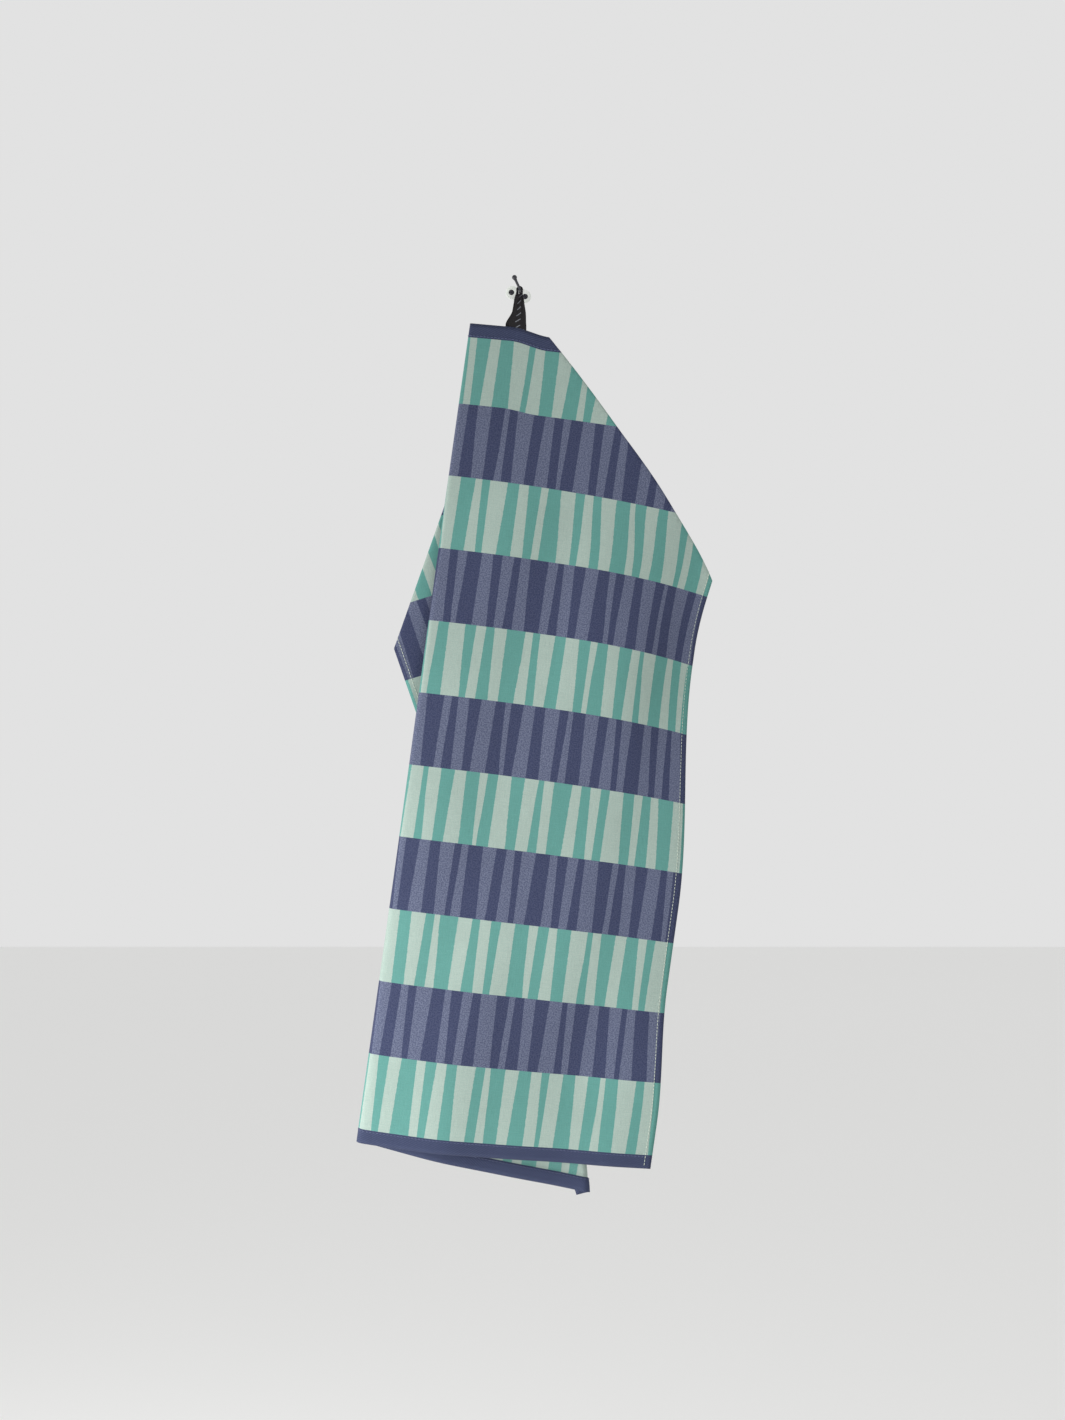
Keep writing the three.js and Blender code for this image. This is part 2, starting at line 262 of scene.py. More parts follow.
def hang(flat, lift):
    """Where points of the flat cloth lie on the hung towel, in mm in the part's frame."""
    flat = np.asarray(flat, float).reshape(-1, 2)
    lift = np.broadcast_to(np.asarray(lift, float), len(flat)).copy()
    folded, lift = fold(flat, lift)
    s, v = folded[:, 0] - LEFT_FOLD, folded[:, 1]
    place = corner + s[:, None] * across + v[:, None] * down
    right = np.clip(s / FRONT_WIDTH, 0, 1.05)
    droop = DROOP_AT_CORNER * rise(v, 0, 150) + DROOP_PER_MM * (v - CORNER_V) * rise(v, 0, 300)
    place[:, 2] += droop * right ** 2
    shoulder = rise(s, *SHOULDER_ALONG)
    arch = HEM_ARCH * s * (1 - shoulder) - SHOULDER * shoulder
    place[:, 2] += arch * (1 - rise(v, *SHOULDER_FADES))
    place[:, 0] -= SHOULDER_IN * rise(s, 60, 170) * rise(v, 10, 80) * (1 - rise(v, 125, 185))
    behind = rise(LEFT_FOLD - flat[:, 0], 0, 25)
    place[:, 2] -= REAR_DROOP * behind * s * v / CLOTH_LENGTH
    curl = rise(v, *CURL_COMES) * (1 - 0.68 * rise(v, *CURL_EASES) - 0.30 * rise(v, *CURL_ENDS))
    far = np.clip((s - CURL_FROM) / (FRONT_WIDTH - CURL_FROM), 0, 1.1)
    place[:, 0] -= CURL * curl * far ** 2
    open_out = rise(v, *LAYERS_OPEN)
    flutes = 1.6 * np.sin(s / 24 + v / 210 + 0.6) + 1.2 * np.sin(s / 41 - v / 150)
    flutes += 0.5 * np.sin(s / 11 + v / 90) + 0.8 * np.sin(v / 47 + s / 130)
    turned = 7.0 * curl * np.sin(math.pi * far) - 3.0 * curl * far ** 2
    roll = LEFT_ROLL * np.clip(1 - s / ROLL_WIDTH, 0, 1) ** 2 * rise(v, *ROLL_COMES)
    place[:, 1] = FRONT_Y + FALL * v + SWAY * s - lift - open_out * flutes - turned + roll
    return place


print("left fold, foot, mm:", hang([[LEFT_FOLD, CLOTH_LENGTH]], 0).round(1)[0])

# %% [markdown]
# ## The weaver's draft
# Eleven bands cross the towel between two plain navy hems. Each band is striped along its
# length, and odd bands are navy with paler speckled stripes. The stripes are a plain design made
# up by a rule: even stripes are pushed aside by three waves, and the third one pushes the top and
# the bottom of a band opposite ways, so that the stripes taper and lean. Random numbers would do
# this too, but waves that fit the repeat also join up from one repeat to the next.

# %% Make the draft
BANDS = 11
FIRST_BAND, BAND = 57.0, 61.7
REPEAT = CLOTH_WIDTH / 2
FEWEST_PAIRS = 12
# Each wave: how many times it goes round in a repeat, its size in mm and its shift per band.
WIDE_WAVE, NARROW_WAVE, LEAN_WAVE = (5, 2.4, 1.9), (9, 1.5, 2.7), (7, 1.3, 3.7)

BAND_EDGES = [HEM] + [HEM + FIRST_BAND + BAND * i for i in range(BANDS - 1)] + [CLOTH_LENGTH - HEM]


def stripe_edges(band):
    """Where the light and the dark stripes start by turns, at the top and the foot of a band."""
    count = 2 * (FEWEST_PAIRS + band % 2)
    share = np.arange(count) / count
    wide, narrow, lean = (size * np.sin(2 * math.pi * times * share + shift * (band + 1))
                          for times, size, shift in (WIDE_WAVE, NARROW_WAVE, LEAN_WAVE))
    middle = REPEAT * share + wide + narrow
    return middle + lean, middle - lean


DRAFT = [stripe_edges(band) for band in range(BANDS)]


def stripe_count(band, u, share):
    """Stripes passed since the left fold, in pairs, at points a share of the way down a band."""
    top, foot = DRAFT[band]
    edges = top + np.outer(share, foot - top)
    edges = np.concatenate([edges - REPEAT, edges, edges + REPEAT], axis=1)
    along = u - LEFT_FOLD
    passed = np.clip((edges <= along[:, None]).sum(axis=1) - 1, 0, edges.shape[1] - 2)
    point = np.arange(len(u))
    start, end = edges[point, passed], edges[point, passed + 1]
    return (passed + np.clip((along - start) / (end - start), 0, 1)) / 2


narrowest = min(np.diff(row, append=row[0] + REPEAT).min() for rows in DRAFT for row in rows)
print(len(DRAFT), "bands, narrowest stripe", round(float(narrowest), 1), "mm")

# %% [markdown]
# ## Yarn and weave
# Up close the cloth is a grid of warp and weft yarns about half a millimetre apart. From arm's
# length only its effects show: slightly uneven yarn, a fine speckle where two colours of yarn
# meet, and a soft matt sheen. The weave is drawn by nodes from the cloth's own u and v, so that it
# follows every fold. The stripe count from the draft says which yarn is on the face. On the
# reverse a jacquard weave shows the other one, so the two colours change places there.

# %% Small node helpers
YARN = 0.00055


class Recipe:
    """A material's nodes, added one at a time."""

    def __init__(self, name, roughness, sheen=0.0, gloss=0.5):
        self.material = bpy.data.materials.new(name)
        self.material.use_nodes = True
        self.nodes = self.material.node_tree.nodes
        self.links = self.material.node_tree.links
        self.shader = self.nodes["Principled BSDF"]
        self.shader.inputs["Roughness"].default_value = roughness
        self.shader.inputs["Specular IOR Level"].default_value = gloss
        self.shader.inputs["Sheen Weight"].default_value = sheen
        self.shader.inputs["Sheen Roughness"].default_value = 0.5

    def put(self, socket, value):
        if isinstance(value, bpy.types.NodeSocket):
            self.links.new(value, socket)
        elif value is not None:
            socket.default_value = value

    def maths(self, operation, a, b=None, c=None, clamp=False):
        node = self.nodes.new("ShaderNodeMath")
        node.operation = operation
        node.use_clamp = clamp
        for socket, value in zip(node.inputs, (a, b, c)):
            self.put(socket, value)
        return node.outputs[0]

    def mix(self, share, a, b, blend="MIX"):
        node = self.nodes.new("ShaderNodeMix")
        node.data_type = "RGBA"
        node.blend_type = blend
        self.put(node.inputs["Factor"], share)
        self.put(node.inputs["A"], a if isinstance(a, bpy.types.NodeSocket) else (*a, 1))
        self.put(node.inputs["B"], b if isinstance(b, bpy.types.NodeSocket) else (*b, 1))
        return node.outputs["Result"]

    def map(self, name):
        node = self.nodes.new("ShaderNodeUVMap")
        node.uv_map = name
        return node.outputs[0]

    def parts(self, vector):
        node = self.nodes.new("ShaderNodeSeparateXYZ")
        self.links.new(vector, node.inputs[0])
        return node.outputs

    def scaled(self, vector, scale):
        node = self.nodes.new("ShaderNodeMapping")
        self.links.new(vector, node.inputs["Vector"])
        node.inputs["Scale"].default_value = scale
        return node.outputs[0]

    def noise(self, vector, scale, detail=2.0):
        node = self.nodes.new("ShaderNodeTexNoise")
        self.links.new(vector, node.inputs["Vector"])
        node.inputs["Scale"].default_value = scale
        node.inputs["Detail"].default_value = detail
        return node.outputs["Fac"]

    def own_place(self):
        return self.nodes.new("ShaderNodeTexCoord").outputs["Object"]

    def finish(self, colour, height=None, relief=0.0002, roughness=None):
        self.put(self.shader.inputs["Base Color"], colour)
        if height is not None:
            bump = self.nodes.new("ShaderNodeBump")
            bump.inputs["Distance"].default_value = relief
            bump.inputs["Strength"].default_value = 0.6
            self.links.new(height, bump.inputs["Height"])
            self.links.new(bump.outputs[0], self.shader.inputs["Normal"])
        if roughness is not None:
            self.links.new(roughness, self.shader.inputs["Roughness"])
        return self.material


def srgb(red, green, blue):
    """A colour given as 0 to 255 screen values, in the linear values that a shader takes."""
    parts = [value / 255 for value in (red, green, blue)]
    return tuple(p / 12.92 if p <= 0.04045 else ((p + 0.055) / 1.055) ** 2.4 for p in parts)


print("yarn spacing, mm:", YARN / MM)

# %% Colours of the yarns
TEAL = srgb(84, 137, 130)
BEIGE = srgb(152, 167, 159)
NAVY = srgb(48, 54, 82)
PALE_NAVY = srgb(99, 105, 126)
HEM_NAVY = srgb(47, 54, 80)


def woven(recipe, cloth):
    """Height of the weave and a small unevenness of the yarns, from the cloth's own u and v."""
    u, v, _ = recipe.parts(cloth)
    warp = recipe.maths("SINE", recipe.maths("MULTIPLY", u, 2 * math.pi / YARN))
    weft = recipe.maths("SINE", recipe.maths("MULTIPLY", v, 2 * math.pi / YARN))
    height = recipe.maths("ADD", recipe.maths("MULTIPLY", warp, 0.25),
                          recipe.maths("MULTIPLY", weft, 0.25))
    slubs_down = recipe.noise(recipe.scaled(cloth, (1500, 90, 1)), 1.0)
    slubs_over = recipe.noise(recipe.scaled(cloth, (110, 1300, 1)), 1.0)
    uneven = recipe.maths("ADD", slubs_down, slubs_over)
    height = recipe.maths("ADD", height, uneven)
    return height, uneven


def shade(recipe, colour, uneven, cloth, amount):
    """Darkens and lightens a colour a little, yarn by yarn and over large soft patches."""
    patches = recipe.noise(recipe.scaled(cloth, (9, 9, 1)), 1.0, 3.0)
    together = recipe.maths("ADD", recipe.maths("MULTIPLY", uneven, 0.7), patches)
    level = recipe.maths("MULTIPLY_ADD", recipe.maths("SUBTRACT", together, 1.2), amount, 1.0)
    grey = recipe.nodes.new("ShaderNodeCombineXYZ")
    for socket in grey.inputs:
        recipe.links.new(level, socket)
    return recipe.mix(1.0, colour, grey.outputs[0], "MULTIPLY")


def striped(name, light, dark, speckle):
    """A band's cloth: light and dark stripes by the draft, and speckle where yarns cross."""
    recipe = Recipe(name, 0.88, 0.06, 0.15)
    cloth, draft = recipe.map("cloth"), recipe.map("draft")
    height, uneven = woven(recipe, cloth)
    count = recipe.parts(draft)[0]
    ragged = recipe.maths("SUBTRACT", recipe.noise(recipe.scaled(cloth, (260, 420, 1)), 1.0), 0.5)
    count = recipe.maths("MULTIPLY_ADD", ragged, 0.05, count)
    wave = recipe.maths("SINE", recipe.maths("MULTIPLY", count, 2 * math.pi))
    is_light = recipe.maths("MULTIPLY_ADD", wave, 9.0, 0.5, clamp=True)
    grain = recipe.noise(recipe.scaled(cloth, (900, 1050, 1)), 1.0, 1.0)
    flecks = recipe.maths("MULTIPLY_ADD", recipe.maths("SUBTRACT", grain, 0.5), 7.0, 0.5, clamp=True)
    flecked = recipe.maths("MULTIPLY", flecks, speckle)
    light_cloth = recipe.mix(flecked, light, dark)
    dark_cloth = recipe.mix(recipe.maths("MULTIPLY", flecks, 0.35 * speckle), dark, light)
    colour = recipe.mix(is_light, dark_cloth, light_cloth)
    raised = recipe.maths("ADD", height, recipe.maths("MULTIPLY", is_light, 0.35))
    return recipe.finish(shade(recipe, colour, uneven, cloth, 0.28), raised)


def twilled(name, colour, other, across_map="cloth"):
    """Plain hem cloth with the slanting lines of a twill."""
    recipe = Recipe(name, 0.9, 0.06, 0.15)
    cloth = recipe.map(across_map)
    height, uneven = woven(recipe, cloth)
    u, v, _ = recipe.parts(cloth)
    over, under = (recipe.maths("MULTIPLY", way, lines) for way, lines in ((u, 2200.0), (v, 3100.0)))
    slant = recipe.maths("ADD", over, under)
    lines = recipe.maths("MULTIPLY_ADD", recipe.maths("SINE", slant), 0.5, 0.5)
    grain = recipe.noise(recipe.scaled(cloth, (700, 700, 1)), 1.0, 1.0)
    share = recipe.maths("MULTIPLY", recipe.maths("MULTIPLY", lines, grain), 0.4)
    colour = recipe.mix(share, colour, other)
    raised = recipe.maths("ADD", height, lines)
    return recipe.finish(shade(recipe, colour, uneven, cloth, 0.3), raised)


cloths = [
    striped("teal_band_face", BEIGE, TEAL, 0.12),
    striped("teal_band_reverse", TEAL, BEIGE, 0.12),
    striped("navy_band_face", PALE_NAVY, NAVY, 0.6),
    striped("navy_band_reverse", NAVY, PALE_NAVY, 0.6),
    twilled("hem_cloth", HEM_NAVY, PALE_NAVY),
]
TEAL_FACE, TEAL_REVERSE, NAVY_FACE, NAVY_REVERSE, HEM_CLOTH = range(len(cloths))
print("cloth materials:", [material.name for material in cloths])

# %% [markdown]
# ## The cloth
# The cloth is one closed sheet: a face, a reverse and a narrow rim. Its grid lines sit on the
# band borders and on the edges of the hems, so that colours and steps fall exactly there. Hems
# are the same cloth turned twice, so the reverse simply stands out further along all four edges.
# A plane with a Solidify modifier would be shorter to write, but it can't make the hems thicker.

# %% Lay out the grid lines
CELL = 2.7
CELL_DOWN = 4.4
BODY_HALF = 0.25
HEM_TURN = 0.9
SIDE_TURN = 0.7
STEP = 0.8


def lines_between(stops, cell):
    """Grid lines through every stop, with even steps of about one cell between them."""
    lines = [stops[0]]
    for start, end in zip(stops, stops[1:]):
        steps = max(1, round((end - start) / cell))
        lines += [start + (end - start) * (i + 1) / steps for i in range(steps)]
    return np.array(lines)


across_stops = [0, SIDE_HEM - STEP, SIDE_HEM, LEFT_FOLD - 20, LEFT_FOLD + 4]
across_stops += [CLOTH_WIDTH - SIDE_HEM, CLOTH_WIDTH - SIDE_HEM + STEP, CLOTH_WIDTH]
down_stops = [0, HEM - STEP, *BAND_EDGES, CLOTH_LENGTH - HEM + STEP, CLOTH_LENGTH]
u_lines = lines_between([float(stop) for stop in across_stops], CELL)
bend_zone = (u_lines > LEFT_FOLD - 20) & (u_lines < LEFT_FOLD + 4)
u_lines = np.sort(np.concatenate([u_lines, u_lines[bend_zone] + CELL / 2]))
v_lines = lines_between([float(stop) for stop in down_stops], CELL_DOWN)
print("grid:", len(u_lines), "by", len(v_lines))

# %% [markdown]
# ## Cutting along the creases
# Three creases slant across the grid. Where a bend crosses square cells at a slant, its edge
# comes out in small steps. A finer grid would hide them, but it would take many more faces. So
# the flat grid is cut along each bend instead, where it starts, where it ends and between.

# %% Cut the flat grid along the slanting creases
BEND_STEPS = 5


def cut_along_bend(flat_cloth, crease, size, front):
    """Cuts one side of the flat grid where a bend starts and ends and between, so it folds clean."""
    start, _, out, _, _ = crease_frame(np.zeros((1, 2)), crease)
    for angle in np.linspace(0, math.pi, BEND_STEPS + 1):
        normal = out - np.array([0, angle * size[1]])
        point = normal * (start @ out + angle * size[0]) / (normal @ normal)
        faces = [face for face in flat_cloth.faces
                 if (face.calc_center_median().x > LEFT_FOLD) == front]
        chosen = set(faces)
        edges = [edge for edge in flat_cloth.edges if chosen.intersection(edge.link_faces)]
        verts = [vert for vert in flat_cloth.verts if chosen.intersection(vert.link_faces)]
        bmesh.ops.bisect_plane(flat_cloth, geom=faces + edges + verts, dist=1e-3,
                               plane_co=(*point, 0), plane_no=(*normal, 0))


def flat_grid():
    """The flat cloth as points in u and v, faces between them, and the edges of its border."""
    rows, columns = len(v_lines), len(u_lines)
    cloth = bmesh.new()
    points = [[cloth.verts.new((u, v, 0)) for u in u_lines] for v in v_lines]
    for upper, lower in zip(points, points[1:]):
        for i in range(columns - 1):
            cloth.faces.new((upper[i], lower[i], lower[i + 1], upper[i + 1]))
    cut_along_bend(cloth, RIGHT_CORNER, CORNER_BEND, True)
    cut_along_bend(cloth, REAR_CORNER, CORNER_BEND, False)
    cut_along_bend(cloth, INNER_CREASE, INNER_BEND, False)
    cloth.verts.index_update()
    flat = np.array([vert.co[:2] for vert in cloth.verts])
    faces = [tuple(vert.index for vert in face.verts) for face in cloth.faces]
    rim = []
    for edge in cloth.edges:
        if len(edge.link_faces) == 1:
            loop = edge.link_loops[0]
            rim.append((loop.link_loop_next.vert.index, loop.vert.index))
    cloth.free()
    return flat, faces, rim


flat_points, flat_faces, flat_rim = flat_grid()
print("cut grid:", len(flat_points), "points,", len(flat_faces), "faces,",
      len(flat_rim), "edges round it")

# %% Build the towel
def turned_in(u, v):
    """How much the hems add behind the cloth at a flat point, in mm."""
    top = 1 - rise(v, HEM - STEP, HEM)
    foot = rise(v, CLOTH_LENGTH - HEM, CLOTH_LENGTH - HEM + STEP)
    left = 1 - rise(u, SIDE_HEM - STEP, SIDE_HEM)
    right = rise(u, CLOTH_WIDTH - SIDE_HEM, CLOTH_WIDTH - SIDE_HEM + STEP)
    return np.maximum(HEM_TURN * np.maximum(top, foot), SIDE_TURN * np.maximum(left, right))


def new_piece(name, verts, faces, materials, smooth=True):
    """A mesh object in metres from points in mm."""
    mesh = bpy.data.meshes.new(name)
    mesh.from_pydata((np.asarray(verts) * MM).tolist(), [], faces)
    mesh.update()
    for material in materials:
        mesh.materials.append(material)
    mesh.polygons.foreach_set("use_smooth", [smooth] * len(mesh.polygons))
    piece = bpy.data.objects.new(name, mesh)
    bpy.context.scene.collection.objects.link(piece)
    return piece


def build_towel():
    """The folded towel as one closed mesh: its face, its reverse and the rim between them."""
    face_side = hang(flat_points, BODY_HALF)
    reverse_side = hang(flat_points, -BODY_HALF - turned_in(flat_points[:, 0], flat_points[:, 1]))
    count = len(flat_points)
    faces, kinds, bands = [], [], []
    for face in flat_faces:
        band = int(np.searchsorted(BAND_EDGES, flat_points[list(face), 1].mean())) - 1
        plain = band < 0 or band >= len(DRAFT)
        faces += [face, tuple(count + k for k in reversed(face))]
        if plain:
            kinds += [HEM_CLOTH, HEM_CLOTH]
        else:
            kinds += [NAVY_FACE, NAVY_REVERSE] if band % 2 else [TEAL_FACE, TEAL_REVERSE]
        bands += [band, band]
    faces += [(a, b, count + b, count + a) for a, b in flat_rim]
    kinds += [HEM_CLOTH] * len(flat_rim)
    bands += [-1] * len(flat_rim)
    towel = new_piece("towel_cloth", np.concatenate([face_side, reverse_side]), faces, cloths)
    towel.data.polygons.foreach_set("material_index", kinds)
    add_maps(towel.data, np.concatenate([flat_points, flat_points]), bands)
    return towel


def add_maps(mesh, flat, bands):
    """The cloth map holds u and v in metres; the draft map holds the stripe count."""
    corners = np.zeros(len(mesh.loops), int)
    mesh.loops.foreach_get("vertex_index", corners)
    sizes = np.zeros(len(mesh.polygons), int)
    mesh.polygons.foreach_get("loop_total", sizes)
    corner_band = np.repeat(bands, sizes)
    at = flat[corners]
    counts = np.zeros(len(corners))
    for band in range(len(DRAFT)):
        here = corner_band == band
        start, end = BAND_EDGES[band], BAND_EDGES[band + 1]
        counts[here] = stripe_count(band, at[here, 0], (at[here, 1] - start) / (end - start))
    cloth = mesh.uv_layers.new(name="cloth")
    cloth.data.foreach_set("uv", (at * MM).ravel())
    draft = mesh.uv_layers.new(name="draft")
    draft.data.foreach_set("uv", np.stack([counts, corner_band], axis=1).ravel())


towel = build_towel()
print("towel has", len(towel.data.polygons), "faces")

# %% [markdown]
# ## Stitching
# Both end hems are sewn with navy thread, and the narrow side hems with an off-white thread that
# shows as a fine broken line inside each edge. A drawn line would do from afar, but on the real
# towel the thread catches the light. So every stitch is a small bar of thread that dips into the
# cloth at both ends, on the face and on the reverse.

# %% Sew the seams
STITCH = 3.0
STITCH_SHARE = 0.8
THREAD_RADIUS = 0.23
THREAD_SIDES = 6


def thread_material(name, colour, darker):
    recipe = Recipe(name, 0.7, 0.1)
    place = recipe.own_place()
    strands = recipe.noise(recipe.scaled(place, (2600, 2600, 2600)), 1.0)
    colour = recipe.mix(strands, darker, colour)
    return recipe.finish(colour, strands, 0.0001)


pale_thread = thread_material("off_white_thread", srgb(214, 220, 206), srgb(170, 180, 166))
navy_thread = thread_material("navy_thread", srgb(96, 104, 140), srgb(50, 57, 92))


def stitches(name, start, end, thread, side):
    """A row of stitches along a straight line on the flat cloth, on one side of the cloth."""
    start, end = np.array(start, float), np.array(end, float)
    length = np.linalg.norm(end - start)
    count = int(length / STITCH)
    along = (end - start) / length
    beyond = np.array([-along[1], along[0]])
    stations = np.array([0.0, 0.12, 0.5, 0.88, 1.0])
    dips = np.array([-0.25, 0.1, 0.24, 0.1, -0.25])
    widths = np.array([0.55, 0.9, 1.0, 0.9, 0.55])
    angles = np.arange(THREAD_SIDES) * 2 * math.pi / THREAD_SIDES
    flat, lift = [], []
    for k in range(count):
        middle = start + along * STITCH * (k + 0.5)
        for station, dip, width in zip(stations, dips, widths):
            at = middle + along * STITCH * STITCH_SHARE * (station - 0.5)
            ring = at + np.outer(np.cos(angles) * THREAD_RADIUS * width, beyond)
            base = BODY_HALF + (turned_in(at[0], at[1]) if side < 0 else 0)
            flat.append(ring)
            lift.append(side * (base + dip + np.sin(angles) * THREAD_RADIUS * width))
    verts = hang(np.concatenate(flat), np.concatenate(lift))
    faces, rings, n = [], len(stations), THREAD_SIDES
    for k in range(count):
        first = k * rings * n
        for r in range(rings - 1):
            for i in range(n):
                a, b = first + r * n + i, first + r * n + (i + 1) % n
                quad = (a, b, b + n, a + n)
                faces.append(quad if side > 0 else quad[::-1])
        caps = [tuple(first + i for i in range(n))[::-1],
                tuple(first + (rings - 1) * n + i for i in range(n))]
        faces += caps if side > 0 else [cap[::-1] for cap in caps]
    return new_piece(name, verts, faces, [thread])


side_in = SIDE_HEM - 1.2
hem_in = HEM - 1.5
seams = {
    "top_hem_seam": ((1.5, hem_in), (CLOTH_WIDTH - 1.5, hem_in), navy_thread),
    "bottom_hem_seam": ((1.5, CLOTH_LENGTH - hem_in), (CLOTH_WIDTH - 1.5, CLOTH_LENGTH - hem_in),
                        navy_thread),
    "left_side_seam": ((side_in, 1.5), (side_in, CLOTH_LENGTH - 1.5), pale_thread),
    "right_side_seam": ((CLOTH_WIDTH - side_in, 1.5), (CLOTH_WIDTH - side_in, CLOTH_LENGTH - 1.5),
                        pale_thread),
}
seam_rows = []
for seam_name, (seam_start, seam_end, seam_thread) in seams.items():
    seam_rows.append(stitches(seam_name + "_face", seam_start, seam_end, seam_thread, TO_FACE))
    seam_rows.append(stitches(seam_name + "_reverse", seam_start, seam_end, seam_thread, TO_REVERSE))
print(len(seam_rows), "rows of stitches")

# %% [markdown]
# ## The hanging loop
# The loop is a black woven tape, 15 mm wide. It hangs over the thin arm, where its width gathers
# into pleats. Its two legs press together below the arm and turn a quarter round on their way
# down, so that it lies flat in the hem. Here it is a strip of many narrow sections, each set by
# given rules for its width, turn and pleats. Small woven dashes stand for its plain motif.

# %% Weave the tape's material
TAPE_BLACK, TAPE_BROWN, TAPE_MARK = srgb(20, 19, 23), srgb(34, 31, 32), srgb(130, 133, 141)
# Metres from rib to rib, then how steeply the dashes lean and how many there are in a metre.
RIB = 0.0009
DASH_SLANT, DASHES_A_METRE = 130.0, 190.0
# The share of a step that is marked, and how far from the tape's middle the marks reach.
DASH_SHARE, DASH_REACH = 0.16, 0.0022


def tape_material():
    recipe = Recipe("black_tape", 0.8, 0.06, 0.2)
    cloth = recipe.map("cloth")
    u, v, _ = recipe.parts(cloth)
    height, uneven = woven(recipe, cloth)
    ribs = recipe.maths("SINE", recipe.maths("MULTIPLY", v, 2 * math.pi / RIB))
    colour = recipe.mix(recipe.noise(recipe.scaled(cloth, (900, 900, 1)), 1.0), TAPE_BLACK, TAPE_BROWN)
    slant = recipe.maths("MULTIPLY_ADD", u, DASH_SLANT, recipe.maths("MULTIPLY", v, DASHES_A_METRE))
    dash = recipe.maths("LESS_THAN", recipe.maths("FRACT", slant), DASH_SHARE)
    inside = recipe.maths("LESS_THAN", recipe.maths("ABSOLUTE", u), DASH_REACH)
    share = recipe.maths("MULTIPLY", recipe.maths("MULTIPLY", dash, inside), 0.75)
    colour = recipe.mix(share, colour, TAPE_MARK)
    raised = recipe.maths("ADD", height, recipe.maths("MULTIPLY", ribs, 0.5))
    return recipe.finish(colour, raised, 0.00025)


black_tape = tape_material()

# %% Shape the loop
TAPE_WIDTH, TAPE_HALF_THICK = 15.0, 0.3
CROWN_WIDTH = 6.0
ROD_RADIUS = 1.1
CROWN_RADIUS = ROD_RADIUS + 0.15 + TAPE_HALF_THICK
TUCK = 8.0
FRONT_LEG_Y, REAR_LEG_Y = -13.55, -12.95
FRONT_LEAN, REAR_LEAN = 1.3, 4.0
# Depths below the arm, in mm, between which the legs turn, close up, step aside and lean.
TURNS, CLOSES, STEPS_ASIDE, LEANS = (1, 12), (1, 9), (1, 6), (18, 31)
WIDENS_FROM, WIDENS_OVER = 2, 28
swing = np.array(joints["loop_swing"]["pos_m"]) / MM
hem_top = corner + across * SEAM_AT


def leg_rules(side, depth):
    """Middle, outward direction, width direction and width of a leg, at a depth below the arm."""
    free = swing[2] - hem_top[2]
    share = rise(depth, 0, free)
    turn = rise(depth, *TURNS) * math.pi / 2
    outward = side * np.array([math.cos(turn), -math.sin(turn), 0])
    widthwise = np.array([math.sin(turn), math.cos(turn), 0])
    half = CROWN_RADIUS + (TAPE_HALF_THICK - CROWN_RADIUS) * rise(depth, *CLOSES)
    leg_y, lean = (FRONT_LEG_Y, FRONT_LEAN) if side > 0 else (REAR_LEG_Y, REAR_LEAN)
    aside = 0.5 * rise(depth, *STEPS_ASIDE) + lean * rise(depth, *LEANS)
    middle = np.array([swing[0] - aside,
                       swing[1] + (leg_y + TAPE_HALF_THICK * side - swing[1]) * share,
                       swing[2] - depth])
    widened = np.clip((depth - WIDENS_FROM) / WIDENS_OVER, 0, 1)
    width = CROWN_WIDTH + (TAPE_WIDTH - CROWN_WIDTH) * widened
    return middle + outward * half, outward, widthwise, width


def tape_sections():
    """The loop's sections from the end of the rear leg, over the arm, to the end of the front leg."""
    reach = swing[2] - hem_top[2] + TUCK
    depths = np.linspace(reach, 0, 46)
    sections = [leg_rules(-1, depth) for depth in depths]
    for angle in np.linspace(math.pi, 0, 14)[1:-1]:
        outward = np.array([math.cos(angle), 0, math.sin(angle)])
        middle = swing + outward * CROWN_RADIUS
        sections.append((middle, outward, np.array([0.0, 1.0, 0.0]), CROWN_WIDTH))
    return sections + [leg_rules(1, depth) for depth in depths[::-1]]


